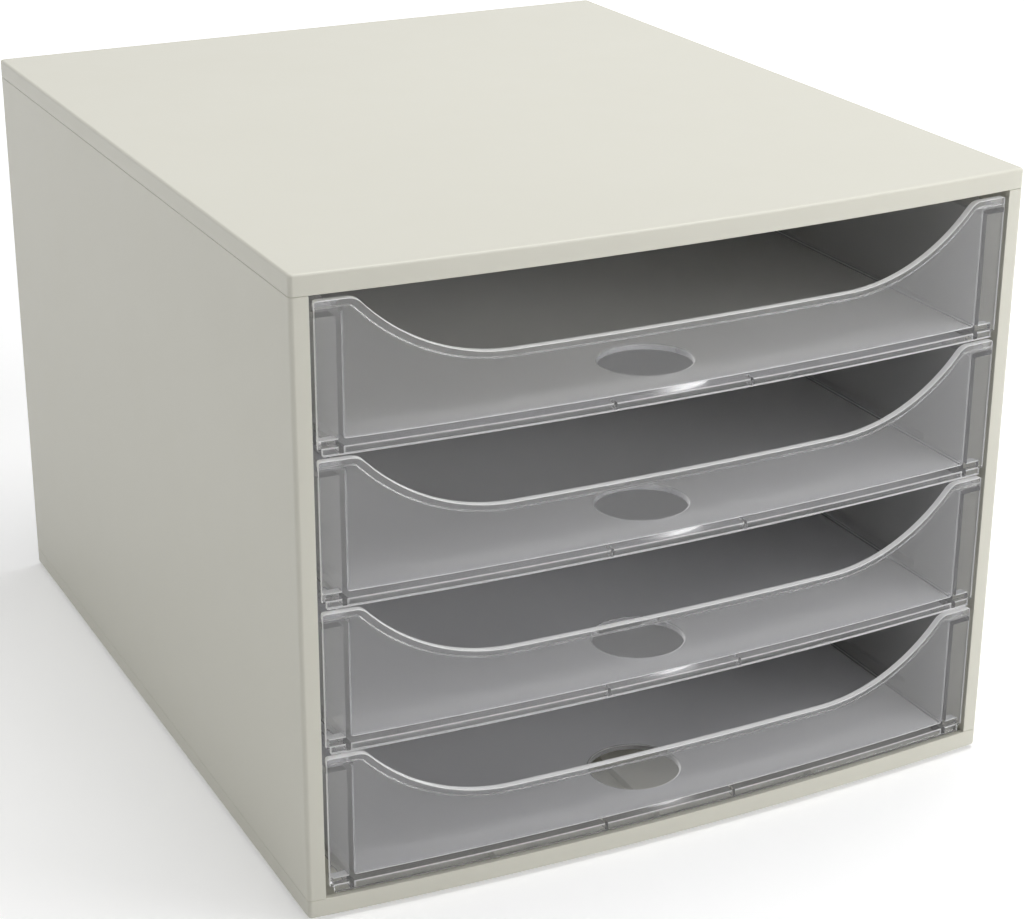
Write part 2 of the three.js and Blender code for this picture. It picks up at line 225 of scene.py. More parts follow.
def bar(name, x, y, z, rounding=small_round):
    """A straight bar between two places along each axis, with its edges rounded."""
    sizes = [abs(ends[1] - ends[0]) for ends in (x, y, z)]
    middle = [(ends[0] + ends[1]) / 2 for ends in (x, y, z)]
    bpy.ops.object.select_all(action="DESELECT")
    bpy.ops.mesh.primitive_cube_add(size=1, location=middle, scale=sizes)
    piece = bpy.context.object
    piece.name = name
    bpy.ops.object.transform_apply(location=True, rotation=True, scale=True)
    if rounding:
        round_edges(piece, rounding)
    return piece


def join(pieces):
    """Puts several solids into one object."""
    bpy.ops.object.select_all(action="DESELECT")
    for piece in pieces:
        piece.select_set(True)
    bpy.context.view_layer.objects.active = pieces[0]
    if len(pieces) > 1:
        bpy.ops.object.join()
    return pieces[0]


def finish_mesh(piece, material, body):
    """Smooths a piece, gives it its material and lets it move with its body."""
    weld_corners(piece)
    bpy.ops.object.shade_smooth_by_angle(angle=sharp_angle)
    step = piece.modifiers.new("flat_faces", "WEIGHTED_NORMAL")
    step.keep_sharp = True
    apply(piece, step)
    piece.data.materials.clear()
    piece.data.materials.append(material)
    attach(piece, body)


def rounded_block(name, inset, low, high, rounding):
    """All that lies inside the plan of the casing, or inside its walls, with rounded corners."""
    half = half_width - inset
    block = bowed_outline(name, half, bow_apex_y + inset, back_y - inset, low)
    pull(0, 0, high - low)
    face_out()

    def at_corner(place, edge):
        return abs(place.z - (low + high) / 2) < weld and abs(place.x) > half - weld

    select_where(block, "EDGE", at_corner)
    bpy.ops.mesh.bevel(offset=rounding, segments=corner_steps)
    return block


def moulded_tray(name, rim):
    """A tray with its plate at height zero and its rim upwards."""
    tray = rounded_block(name, 0, 0, rim, corner_round)
    select_where(tray, "FACE", lambda place, face: face.normal.z < -facing)
    bpy.ops.mesh.region_to_loop()
    bpy.ops.mesh.bevel(offset=edge_round, segments=edge_steps)
    close_edit()
    hollow = rounded_block("hollow", casing_wall, casing_wall, rim + overrun, corner_round / 2)
    combine(tray, hollow, "DIFFERENCE")
    select_where(tray, "FACE", lambda place, face: face.normal.z > facing and place.z > rim - weld)
    bpy.ops.mesh.region_to_loop()
    bpy.ops.mesh.bevel(offset=seam_round, segments=small_steps)
    close_edit()
    return tray


def tray_ribs(name):
    """The lattice that stiffens the plate of a tray, its root inside the plate."""
    half = half_width - 2 * casing_wall - rib_clearance / 2
    front = bow_apex_y + front_bow + casing_wall
    back = back_y - casing_wall - rib_clearance
    root = casing_wall / 2
    ribs = []
    for i in range(long_ribs):
        x = half * (2 * i / (long_ribs - 1) - 1)
        z = (root, casing_wall + long_rib_height)
        ribs.append(bar(name, (x - rib_wall / 2, x + rib_wall / 2), (front, back), z))
    for i in range(cross_ribs):
        y = front + (back - front) * (i + 1) / (cross_ribs + 1)
        z = (root, casing_wall + cross_rib_height)
        ribs.append(bar(name, (-half, half), (y - rib_wall / 2, y + rib_wall / 2), z))
    return join(ribs)


def move_mesh(piece, dx, dy, dz):
    """Moves the mesh of a piece, whose object stays at the origin."""
    edit(piece)
    bpy.ops.mesh.select_all(action="SELECT")
    bpy.ops.transform.translate(value=(dx, dy, dz))
    close_edit()


class Value:
    """A number or colour on its way through nodes. Arithmetic on it adds Math nodes."""

    def __init__(self, nodes, socket):
        self.nodes = nodes
        self.socket = socket

    def beside(self, output):
        """Another output of the same node."""
        return Value(self.nodes, self.socket.node.outputs[output])

    def math(self, operation, first, second):
        return self.nodes.node("Math", {"operation": operation}, {0: first, 1: second})

    def __add__(self, other):
        return self.math("ADD", self, other)

    def __rsub__(self, other):
        return self.math("SUBTRACT", other, self)

    def __mul__(self, other):
        return self.math("MULTIPLY", self, other)

    __radd__ = __add__
    __rmul__ = __mul__


class Nodes:
    """The nodes of a material or of the world. One method adds any node."""

    def __init__(self, tree):
        self.tree = tree

    def node(self, kind, settings, sockets, output=0):
        """Adds a node with its settings, then fills its sockets with plain numbers or links."""
        new = self.tree.nodes.new("ShaderNode" + kind)
        for name, value in settings.items():
            setattr(new, name, value)
        for name, value in sockets.items():
            if isinstance(value, Value):
                self.tree.links.new(value.socket, new.inputs[name])
            else:
                new.inputs[name].default_value = value
        return Value(self, new.outputs[output])


class Finish(Nodes):
    """A material made of nodes round one Principled shader, whose plain sockets are set by name."""

    def __init__(self, name, plain):
        self.material = bpy.data.materials.new(name)
        self.material.use_nodes = True
        super().__init__(self.material.node_tree)
        self.shader = self.tree.nodes["Principled BSDF"]
        self.output = self.tree.nodes["Material Output"]
        for socket, value in plain.items():
            self.shader.inputs[socket].default_value = value

    def feed(self, socket, value):
        self.tree.links.new(value.socket, self.shader.inputs[socket])

    def place(self):
        return self.node("TexCoord", {}, {}, "Object")

    def noise(self, scale, detail):
        return self.node("TexNoise", {}, {"Vector": self.place(), "Scale": scale, "Detail": detail})

    def mix(self, factor, first, second):
        """Mixes two colours, by the sockets that a Mix node keeps for colours."""
        factor_in, first_in, second_in, colour_out = 0, 6, 7, 2
        sockets = {factor_in: factor, first_in: first, second_in: second}
        return self.node("Mix", {"data_type": "RGBA"}, sockets, colour_out)

    def bump(self, height, strength, distance):
        sockets = {"Height": height, "Strength": strength, "Distance": distance}
        self.feed("Normal", self.node("Bump", {}, sockets))


def cream_plastic():
    """Satin cream polystyrene: a fine spark-eroded grain, and faint clouds in colour and gloss."""
    cream = (0.76, 0.747, 0.657, 1)
    aged_cream = (0.73, 0.717, 0.627, 1)
    satin = 0.36
    unevenness = 0.1
    finish = Finish("cream_plastic", {"IOR": 1.5, "Specular IOR Level": 0.5})
    clouds = finish.noise(scale=9, detail=3)
    streaks = finish.noise(scale=60, detail=4)
    finish.feed("Base Color", finish.mix(clouds, cream, aged_cream))
    finish.feed("Roughness", satin + unevenness * streaks)
    finish.bump(finish.noise(scale=1900, detail=2), strength=0.12, distance=0.05 * mm)
    return finish.material


casing_plastic = cream_plastic()

base = moulded_tray("base_moulding", base_high.z - base_low.z)
combine(base, tray_ribs("base_ribs"), overlapping=True)
move_mesh(base, 0, 0, base_low.z)
finish_mesh(base, casing_plastic, "casing")
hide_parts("base")

cover = moulded_tray("cover_moulding", cover_high.z - cover_low.z)
combine(cover, tray_ribs("cover_ribs"), overlapping=True)
edit(cover)
bpy.ops.mesh.select_all(action="SELECT")
bpy.ops.transform.mirror(constraint_axis=(False, False, True), center_override=(0, 0, 0))
bpy.ops.mesh.normals_make_consistent(inside=False)
close_edit()
move_mesh(cover, 0, 0, cover_high.z)
finish_mesh(cover, casing_plastic, "casing")
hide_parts("top_cover")

# Side panels: tall mouldings of the same plastic, with a thick hollow post along the front edge.
# Inside each are four channels: a ledge that a drawer's flange slides on, a guide rib over it,
# a stop nub at the front and an end wall. Tongues at top and bottom enter cover and base.

side_bottom = base_high.z
side_top = cover_low.z
drawer_count = 4
drawer_places = [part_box(f"drawer_{number}")[0].z for number in range(1, drawer_count + 1)]
drawer_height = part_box("drawer_1")[1].z - drawer_places[0]
post_thickness = 6.5 * mm
front_post_depth = 39 * mm
rear_post_depth = 11 * mm
groove_depth = 3 * mm
fit_gap = 0.3 * mm
gusset_size = 12 * mm
ledge_wall = 2 * mm
guide_wall = 1.8 * mm
channel_height = 5 * mm
channel_start = 26 * mm
ledge_reach = 13.7 * mm
guide_reach = 12.6 * mm
stop_length = 6 * mm
stop_height = 2.4 * mm
tongue_wall = 2 * mm
flange_drop = 4 * mm
flange_wall = 1.8 * mm
tray_depth = 322 * mm
opening_half = half_width - post_thickness
skin_inside = half_width - casing_wall
tray_back_y = corner_y + tray_depth
channel_front_y = corner_y + channel_start
channel_back_y = tray_back_y + fit_gap
back_panel_y = (back_y - 2 * casing_wall - fit_gap, back_y - casing_wall - fit_gap)
ledge_top = drawer_height - flange_drop - flange_wall - fit_gap


def bow_y(x):
    """Where the bowed front lies at a distance x from the middle."""
    return bow_centre_y - math.sqrt(bow_radius**2 - x**2)


def panel_outline(side):
    """The plan of a side panel: front post with its hollow, skin, and rear post with its groove."""
    across = [
        (opening_half, bow_y(opening_half)),
        (half_width, corner_y),
        (half_width, back_y),
        (opening_half, back_y),
        (opening_half, back_panel_y[1] + fit_gap),
        (opening_half + groove_depth, back_panel_y[1] + fit_gap),
        (opening_half + groove_depth, back_panel_y[0] - fit_gap),
        (opening_half, back_panel_y[0] - fit_gap),
        (opening_half, back_y - rear_post_depth),
        (skin_inside, back_y - rear_post_depth),
        (skin_inside, corner_y + casing_wall),
        (opening_half + casing_wall, corner_y + casing_wall),
        (opening_half + casing_wall, corner_y + front_post_depth),
        (opening_half, corner_y + front_post_depth),
    ]
    return straight_outline("side_moulding", [(side * x, y, side_bottom) for x, y in across])


def channel_bars(across, bottom):
    """One channel for a drawer's flange, with across giving the places from side to side."""
    ledge = bottom + ledge_top
    guide = ledge + channel_height
    back = channel_back_y + casing_wall
    length = (channel_front_y, back)
    stop = (channel_front_y, channel_front_y + stop_length)
    end = (channel_back_y, back)
    return [
        bar("ledge", across(ledge_reach), length, (ledge - ledge_wall, ledge)),
        bar("guide", across(guide_reach), length, (guide, guide + guide_wall)),
        bar("stop", across(guide_reach), stop, (guide - stop_height, guide + guide_wall / 2)),
        bar("end", across(ledge_reach), end, (ledge - ledge_wall / 2, guide + guide_wall / 2)),
    ]


def gusset(side, bottom):
    """The slanted web that carries a ledge off the front post."""
    root = corner_y + front_post_depth - casing_wall
    post_back = root + casing_wall
    under = bottom + ledge_top - ledge_wall / 2
    low = under - gusset_size
    corners = [
        (root, under),
        (root, low - casing_wall),
        (post_back, low),
        (post_back + gusset_size, under),
    ]
    web = straight_outline("gusset", [(side * opening_half, y, z) for y, z in corners])
    pull(side * casing_wall, 0, 0)
    face_out()
    round_edges(web, small_round)
    return web


def side_panel(name, side):
    root = casing_wall / 2

    def across(reach):
        return (side * (half_width - reach), side * (half_width - root))

    panel = panel_outline(side)
    pull(0, 0, side_top - side_bottom)
    face_out()

    def at_outer_corner(place, edge):
        halfway = abs(place.z - (side_top + side_bottom) / 2) < weld
        return halfway and abs(place.x) > half_width - weld

    select_where(panel, "EDGE", at_outer_corner)
    bpy.ops.mesh.bevel(offset=corner_round, segments=corner_steps)
    round_edges(panel, small_round)
    additions = []
    for bottom in drawer_places:
        additions += channel_bars(across, bottom)
        additions.append(gusset(side, bottom))
    post = (corner_y + casing_wall / 2, corner_y + front_post_depth - small_round)
    inner = side * (opening_half + casing_wall / 2)
    for z in ((side_bottom, side_bottom + casing_wall), (side_top - casing_wall, side_top)):
        additions.append(bar("post_end", (inner, side * (skin_inside + root)), post, z, 0))
    tongue_out = skin_inside - fit_gap
    tongue_in = tongue_out - tongue_wall
    front = corner_y + casing_wall + fit_gap
    back = back_panel_y[0] - 2 * fit_gap
    top = cover_high.z - casing_wall
    bottom = base_low.z + casing_wall
    shelf_x = (side * tongue_in, side * (half_width - root))
    tongue_x = (side * tongue_in, side * tongue_out)
    shelf_y = (front + front_bow, back)
    additions.append(bar("shelf", shelf_x, shelf_y, (side_top - tongue_wall, side_top), 0))
    additions.append(bar("shelf", shelf_x, shelf_y, (side_bottom, side_bottom + tongue_wall), 0))
    additions.append(bar("tongue", tongue_x, (front, back), (side_top - tongue_wall, top)))
    additions.append(bar("tongue", tongue_x, (front, back), (bottom, side_bottom + tongue_wall)))
    combine(panel, join(additions), overlapping=True)
    panel.name = name + "_moulding"
    finish_mesh(panel, casing_plastic, "casing")
    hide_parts(name)


side_panel("left_side_panel", -1)
side_panel("right_side_panel", 1)

# Back panel: a flat plate of the same plastic that slides into the grooves of the rear posts,
# with three upright ribs on its inner side and a tongue above and below.

back_ribs = 3


def back_panel():
    half = opening_half + groove_depth - fit_gap
    inside = opening_half - fit_gap
    plate_z = (side_bottom + fit_gap, side_top - fit_gap)
    tongue_z = (base_low.z + casing_wall, cover_high.z - casing_wall)
    panel = bar("back_moulding", (-half, half), back_panel_y, plate_z)
    additions = [bar("tongue", (-inside, inside), back_panel_y, tongue_z)]
    rib_y = (back_panel_y[0] - rib_wall, back_panel_y[1] - rib_wall)
    for i in range(back_ribs):
        x = inside * (2 * (i + 1) / (back_ribs + 1) - 1)
        rib_x = (x - rib_wall / 2, x + rib_wall / 2)
        additions.append(bar("rib", rib_x, rib_y, (side_bottom, side_top)))
    combine(panel, join(additions), overlapping=True)
    finish_mesh(panel, casing_plastic, "casing")
    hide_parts("back_panel")


back_panel()

# Feet: four round pads of dark rubber, pressed into recesses of the base, with a rounded lower
# edge and a shallow ring under them so that they grip the desk.

foot_sides = 48
foot_round = 0.5 * mm
foot_round_steps = 4
foot_ring = 2.5 * mm
foot_dish = 0.4 * mm


def dark_rubber():
    """Matt rubber with a fine grain, a little paler where it is rubbed."""
    black_rubber = (0.018, 0.018, 0.018, 1)
    rubbed_grey = (0.034, 0.033, 0.032, 1)
    matt = 0.75
    unevenness = 0.15
    finish = Finish("dark_rubber", {"Specular IOR Level": 0.35})
    wear = finish.noise(scale=220, detail=3)
    finish.feed("Base Color", finish.mix(wear, black_rubber, rubbed_grey))
    finish.feed("Roughness", matt + unevenness * wear)
    finish.bump(finish.noise(scale=2600, detail=2), strength=0.3, distance=0.05 * mm)
    return finish.material


foot_rubber = dark_rubber()


def foot(name):
    low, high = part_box(name)
    bpy.ops.object.select_all(action="DESELECT")
    bpy.ops.mesh.primitive_cylinder_add(
        vertices=foot_sides,
        radius=(high.x - low.x) / 2,
        depth=high.z - low.z,
        location=(low + high) / 2,
    )
    bpy.ops.object.transform_apply(location=True, rotation=True, scale=True)
    pad = bpy.context.object
    pad.name = name + "_pad"
    select_where(pad, "FACE", lambda place, face: place.z < low.z + weld)
    bpy.ops.mesh.region_to_loop()
    bpy.ops.mesh.bevel(offset=foot_round, segments=foot_round_steps)
    select_where(pad, "FACE", lambda place, face: place.z < low.z + weld)
    bpy.ops.mesh.inset(thickness=foot_ring)
    pull(0, 0, foot_dish)
    finish_mesh(pad, foot_rubber, "casing")
    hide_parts(name)


for foot_name in ("foot_front_left", "foot_front_right", "foot_rear_left", "foot_rear_right"):
    foot(foot_name)

# Drawers: four equal trays of clear, faintly grey polystyrene, each moulded in one piece.
# The front is a bowed plate with a wide cut-out under a thickened lip. Behind it lie a floor with
# a round thumb hole, two side walls with the flanges that slide on the ledges, and a back wall.

front_side_gap = 1.6 * mm
front_wall = 2 * mm
lip_depth = 2.8 * mm
lip_band = 2.8 * mm
cut_depth = 25 * mm
shoulder_length = 11.2 * mm
cut_radius = 72 * mm
cut_fillet = 6 * mm
shoulder_round = 1 * mm
skirt_height = 2.5 * mm
skirt_inset = 1.6 * mm
shelf_depth = 3 * mm
welt = 0.5 * mm
floor_wall = 2.4 * mm
floor_lift = 2.6 * mm
tray_inset = 15.6 * mm
tray_wall = 1.8 * mm
cove_radius = 1.2 * mm
flange_width = 7.6 * mm
flange_round = 1.1 * mm
thumb_hole_size = (34.5 * mm, 32.2 * mm)
thumb_hole_setback = 23.4 * mm
skirt_rib_span = 54 * mm
skirt_rib_wall = 1.2 * mm
skirt_rib_length = 9 * mm
travel = 240 * mm
bump_length = 8 * mm
front_round = 0.45 * mm
tray_round = 0.35 * mm
foot_lift = 0.2 * mm
tuck = 0.1 * mm
thumb_hole_round = 0.6 * mm

# Slack when a place is looked for, and the facets along each curve.

line_slack = lip_band / 20
hole_slack_share = 0.01
shoulder_steps = 3
fillet_steps = 8
sweep_steps = 22
flat_steps = 30
round_steps = 3
shoulder_round_steps = 4
cove_steps = 7
thumb_hole_sides = 96

# Looks, mostly as shares: how frosted faces are, how bright the painted edge highlights are and how
# much painted glow there is.

wall_frost = 0.25
lip_frost = 0.12
hole_frost = 0.25
# A painted glow at the front's ends and on the lip's rim.
end_glow = 0.7
rim_glow = 0.35
# Painted highlights on the welts, along the lower edge of the front and on the coves.
wall_welt_glow = 0.15
welt_glow = 0.9
painted_skirt_highlight = 0.8
cove_glow = 0.35
cove_slope = math.sin(math.radians(45))
cove_slope_slack = 0.1
lip_under_facing = 0.2
lip_rim_facing = 0.4
# A painted glow on the front right of the thumb hole's rim.
hole_glow = 1
hole_glow_side = (0.5, -0.87)
frosted_share = 0.95
# How much of a face with a painted edge highlight turns to frosted grey.
painted_highlight_share = 0.9
# How strong the painted glow is.
painted_glow_strength = 0.45
plate_shade = 0.25
tray_shade = 0.2
plastic_ior = 1.55
black = (0, 0, 0, 1)
white = (1, 1, 1, 1)
face_patterns = ("frost", "edge", "glow")

# Sizes that follow from the others.

front_half = opening_half - front_side_gap
tray_half = half_width - tray_inset
floor_top = floor_lift + floor_wall
flange_top = drawer_height - flange_drop
flange_bottom = flange_top - flange_wall
flat_front_half = bow_radius * math.asin(front_half / bow_radius)
sweep = math.acos(1 - cut_depth / (cut_radius + cut_fillet))
shoulder_x = front_half - shoulder_length
flat_half = shoulder_x - (cut_radius + cut_fillet) * math.sin(sweep)


def front_edge(name, lowered):
    """The upper edge of a drawer front, or a line that much below it, as a chain of points."""
    fillet_z = drawer_height - cut_fillet
    sweep_z = drawer_height - cut_depth + cut_radius
    axis = (0, 1, 0)
    chain = pen_down(name, -flat_front_half, 0, drawer_height - lowered)
    pen_line(skirt_inset, 0, 0)
    pen_line(flat_front_half - skirt_inset - shoulder_x, 0, 0, shoulder_steps)
    pen_arc((-shoulder_x, 0, fillet_z), axis, -sweep, fillet_steps)
    pen_arc((-flat_half, 0, sweep_z), axis, sweep, sweep_steps)
    pen_line(2 * flat_half, 0, 0, flat_steps)
    pen_arc((flat_half, 0, sweep_z), axis, sweep, sweep_steps)
    pen_arc((shoulder_x, 0, fillet_z), axis, -sweep, fillet_steps)
    pen_line(flat_front_half - skirt_inset - shoulder_x, 0, 0, shoulder_steps)
    pen_line(skirt_inset, 0, 0)
    close_edit()
    return chain


def edge_height(x, lowered):
    """Height of that upper edge, or of the line below it, at a distance x from the middle."""
    x = abs(x)
    if x >= shoulder_x:
        return drawer_height - lowered
    if x <= flat_half:
        return drawer_height - cut_depth - lowered
    if x < flat_half + (cut_radius + lowered) * math.sin(sweep):
        drop = math.sqrt((cut_radius + lowered) ** 2 - (x - flat_half) ** 2)
        return drawer_height - cut_depth + cut_radius - drop
    rise = math.sqrt((cut_fillet - lowered) ** 2 - (shoulder_x - x) ** 2)
    return drawer_height - cut_fillet + rise


def flatten(z):
    bpy.ops.transform.resize(value=(1, 1, 0), center_override=(0, 0, z))


def on_lip_line(place, edge):
    return abs(edge_height(place.x, lip_band) - place.z) < line_slack


def on_skirt_line(place, edge):
    return abs(place.z - skirt_height) < weld and abs(place.x) < flat_front_half - skirt_inset


def behind_lip(place, face):
    return face.normal.y > facing and place.z > edge_height(place.x, 2 * lip_band)


def at_shoulder(place, edge):
    return abs(place.x) > flat_front_half - weld and place.z > drawer_height - weld


def drawer_front():
    """The bowed front plate: drawn flat, thickened at the lip, narrowed at the skirt, then bent."""
    plate = join([front_edge("drawer_front", 0), front_edge("lip_line", lip_band)])
    edit(plate)
    bpy.ops.mesh.select_mode(type="EDGE")
    bpy.ops.mesh.select_all(action="SELECT")
    bpy.ops.mesh.bridge_edge_loops()
    select_where(plate, "EDGE", on_lip_line)
    pull(0, 0, -lip_band)
    flatten(skirt_height)
    select_where(plate, "EDGE", on_skirt_line)
    pull(0, 0, -skirt_height)
    bpy.ops.mesh.select_all(action="SELECT")
    pull(0, front_wall, 0)
    face_out()
    select_where(plate, "FACE", behind_lip)
    pull(0, lip_depth - front_wall, 0)
    face_out()
    select_where(plate, "EDGE", at_shoulder)
    bpy.ops.mesh.bevel(offset=shoulder_round, segments=shoulder_round_steps)
    round_edges(plate, front_round, round_steps)
    bend = plate.modifiers.new("bow", "SIMPLE_DEFORM")
    bend.deform_method = "BEND"
    bend.deform_axis = "Z"
    bend.angle = 2 * flat_front_half / bow_radius
    apply(plate, bend)
    move_mesh(plate, 0, bow_apex_y, 0)
    return plate


def tray_sleeve():
    """Floor, side walls and flanges: one section drawn across the drawer and pulled to the back."""
    inner = tray_half - tray_wall
    tip = tray_half + flange_width
    right = [
        (inner, floor_lift),
        (inner, foot_lift),
        (tray_half, foot_lift),
        (tray_half, flange_bottom),
        (tip, flange_bottom),
        (tip, flange_top),
        (inner, flange_top),
        (inner, floor_top),
    ]
    left = [(-x, z) for x, z in reversed(right)]
    front = bow_apex_y - overrun
    sleeve = straight_outline("tray_sleeve", [(x, front, z) for x, z in right + left])
    for level, offset in ((floor_top, cove_radius), (flange_top, flange_round)):
        select_where(sleeve, "VERT", lambda place, corner: (
            abs(abs(place.x) - inner) < weld and abs(place.z - level) < weld
        ))
        bpy.ops.mesh.bevel(offset=offset, segments=cove_steps, affect="VERTICES")
    bpy.ops.mesh.select_mode(type="FACE")
    bpy.ops.mesh.select_all(action="SELECT")
    pull(0, tray_back_y - front, 0)
    face_out()
    round_edges(sleeve, tray_round)
    return sleeve


def tray_back():
    """The back wall, with a cove along the floor: a section drawn from front to back."""
    inside = tray_back_y - tray_wall
    outside = tray_back_y - tuck
    low = foot_lift + tuck
    top = flange_top - tuck
    points = [
        (outside, low),
        (outside, top),
        (inside, top),
        (inside, floor_top),
        (inside - cove_radius, floor_top),
        (inside - cove_radius, floor_top - floor_wall / 2),
        (inside, floor_top - floor_wall / 2),
        (inside, low),
    ]
    half = tray_half - tray_wall / 4
    wall = straight_outline("tray_back", [(-half, y, z) for y, z in points])
    select_where(wall, "VERT", lambda place, corner: (
        abs(place.y - inside) < weld and abs(place.z - floor_top) < weld
    ))
    bpy.ops.mesh.bevel(offset=cove_radius, segments=cove_steps, affect="VERTICES")
    bpy.ops.mesh.select_mode(type="FACE")
    bpy.ops.mesh.select_all(action="SELECT")
    pull(2 * half, 0, 0)
    face_out()
    select_where(wall, "EDGE", lambda place, edge: place.z > top - weld or place.z < low + weld)
    bpy.ops.mesh.bevel(offset=tray_round, segments=small_steps)
    close_edit()
    return wall


def bowed_block(behind):
    """All that lies behind the bowed front surface, up to the back of the tray."""
    front = bow_apex_y + behind
    block = bowed_outline("bowed_block", front_half, front, tray_back_y + overrun, -overrun)
    pull(0, 0, drawer_height + 2 * overrun)
    face_out()
    close_edit()
    return block


def hole_place(place):
    """Where a place lies in the thumb hole: across and along it, as shares of its half sizes."""
    across = 2 * place.x / thumb_hole_size[0]
    along = 2 * (place.y - corner_y - thumb_hole_setback) / thumb_hole_size[1]
    return across, along


def on_hole_edge(place, edge):
    on_face = min(abs(place.z - floor_top), abs(place.z - floor_lift)) < weld
    return on_face and abs(math.hypot(*hole_place(place)) - 1) < hole_slack_share


def cut_thumb_hole(tray):
    """The round hole behind the front, its rims rounded off for the finger."""
    bpy.ops.object.select_all(action="DESELECT")
    bpy.ops.mesh.primitive_cylinder_add(
        vertices=thumb_hole_sides,
        radius=1,
        depth=floor_top + 2 * overrun,
        location=(0, corner_y + thumb_hole_setback, floor_top / 2),
        scale=(thumb_hole_size[0] / 2, thumb_hole_size[1] / 2, 1),
    )
    bpy.ops.object.transform_apply(location=True, rotation=True, scale=True)
    combine(tray, bpy.context.object, "DIFFERENCE")
    select_where(tray, "EDGE", on_hole_edge)
    bpy.ops.mesh.bevel(offset=thumb_hole_round, segments=round_steps)
    close_edit()


def stop_bumps():
    """A bump on each flange meets the stop nub of its channel when the drawer is out."""
    front = channel_front_y + stop_length + travel + fit_gap
    y = (front, front + bump_length)
    z = (flange_top - flange_wall / 2, flange_top + stop_height)
    reach = (half_width - guide_reach, tray_half + flange_width - front_round)
    return [bar("bump", (side * reach[0], side * reach[1]), y, z) for side in (-1, 1)]


def skirt_ribs():
    """Two short ribs tie the skirt of the front to the floor."""
    front = bow_apex_y + front_wall / 2
    half = skirt_rib_wall / 2
    y = (front, front + skirt_rib_length)
    z = (foot_lift, floor_top - floor_wall / 2)
    middles = [side * skirt_rib_span / 2 for side in (-1, 1)]
    return [bar("skirt_rib", (x - half, x + half), y, z, tuck) for x in middles]


def front_shelves():
    """At the height of the floor a narrow shelf goes on past each side wall, behind the front."""
    y = (bow_apex_y, corner_y + front_wall + shelf_depth)
    z = (floor_lift, floor_top)
    ends = (tray_half - tray_wall / 2, front_half - skirt_inset)
    return [bar("shelf", (side * ends[0], side * ends[1]), y, z, tuck) for side in (-1, 1)]


def front_welts():
    """Low welts where the floor, the insides of the walls and the flanges meet the front plate."""
    y = (bow_apex_y - overrun / 2, corner_y + overrun)
    floor_half = front_half - skirt_inset - tuck
    inner = tray_half - tray_wall
    tip = tray_half + flange_width - tuck
    wall_z = (foot_lift + tuck, flange_top - tuck)
    flange_z = (flange_top - flange_wall / 2, flange_top + welt)
    welts = [bar("welt", (-floor_half, floor_half), y, (floor_lift - welt, floor_top + welt), 0)]
    for side in (-1, 1):
        root = side * (inner + tray_wall / 2)
        welts.append(bar("welt", (side * (inner - welt), root), y, wall_z, 0))
        welts.append(bar("welt", (side * (inner - welt + tuck), side * tip), y, flange_z, 0))
    welts = join(welts)
    behind = bow_apex_y + front_wall + welt
    rest = bowed_outline("rest", front_half, behind, corner_y + 2 * overrun, -overrun)
    pull(0, 0, drawer_height + 2 * overrun)
    face_out()
    combine(welts, rest, "DIFFERENCE", overlapping=True)
    return welts


def drawer_tray():
    """The whole tray behind the front, cut off along the middle of the front plate."""
    tray = tray_sleeve()
    combine(tray, tray_back())
    cut_thumb_hole(tray)
    combine(tray, join(stop_bumps() + skirt_ribs() + front_shelves()))
    combine(tray, front_welts())
    combine(tray, bowed_block(front_wall / 2), "INTERSECT")
    return tray


def on_hole_wall(place):
    off_rim = abs(math.hypot(*hole_place(place)) - 1) * thumb_hole_size[0] / 2
    return off_rim < thumb_hole_round + weld and place.z < floor_top + weld


def face_frost(place, normal, behind, in_lip):
    """How frosted a face is: fully on the floor, a little elsewhere, and not on the front."""
    if in_lip:
        return lip_frost if normal.z < -lip_under_facing else 0
    if behind < front_wall + weld:
        return 0
    if on_hole_wall(place):
        return hole_frost
    if place.z < floor_top - weld:
        return 0
    if place.z < floor_top + weld:
        return 1 if normal.z > facing else 0
    return wall_frost


def painted_hole_rim_glow(place):
    """A painted glow on the front right of the thumb hole's rim."""
    if not on_hole_wall(place):
        return 0
    across, along = hole_place(place)
    lit = across * hole_glow_side[0] + along * hole_glow_side[1]
    return hole_glow * max(lit, 0) ** 2


def on_lip_rim(normal, behind, below):
    """Whether a face belongs to the rounded upper edge of the lip."""
    in_front = behind < lip_depth + weld and below < lip_band / 2
    return in_front and normal.z > lip_rim_facing


def painted_edge_highlight(place, normal, behind, below, skirt):
    """How bright a painted highlight makes a face as an edge of the plastic: on the lip's rim, the
    welts, the lower edge of the front and the coves.
    """
    if on_lip_rim(normal, behind, below):
        return 1
    if front_wall + weld < behind < front_wall + welt + weld and below > 2 * lip_band:
        on_wall = floor_top + welt + weld < place.z < flange_top - flange_wall / 2 - weld
        return wall_welt_glow if on_wall else welt_glow
    if behind < front_wall + weld:
        return skirt if place.z < front_round else 0
    if place.z < floor_top + cove_radius and abs(normal.z - cove_slope) < cove_slope_slack:
        return cove_glow
    return 0


def painted_edge_glow(place, normal, behind, below):
    """Where a painted glow lies: the front's ends and rim, the hole."""
    if abs(normal.x) > facing and behind < front_wall + weld:
        return end_glow
    if on_lip_rim(normal, behind, below):
        return rim_glow
    return painted_hole_rim_glow(place)


def mark_faces(drawer, skirt):
    """Writes on each face how frosted it is, how bright its painted edge highlight is, and how much
    painted glow it has.
    """
    patterns = [drawer.data.attributes[name].data for name in face_patterns]
    for face in drawer.data.polygons:
        place = face.center
        behind = place.y - bow_y(min(abs(place.x), front_half))
        below = edge_height(place.x, 0) - place.z
        in_lip = behind < lip_depth + weld and below < 2 * lip_band
        glow = painted_edge_glow(place, face.normal, behind, below)
        values = (
            face_frost(place, face.normal, behind, in_lip),
            max(glow, painted_edge_highlight(place, face.normal, behind, below, skirt)),
            glow,
        )
        for pattern, value in zip(patterns, values):
            pattern[face.index].value = value


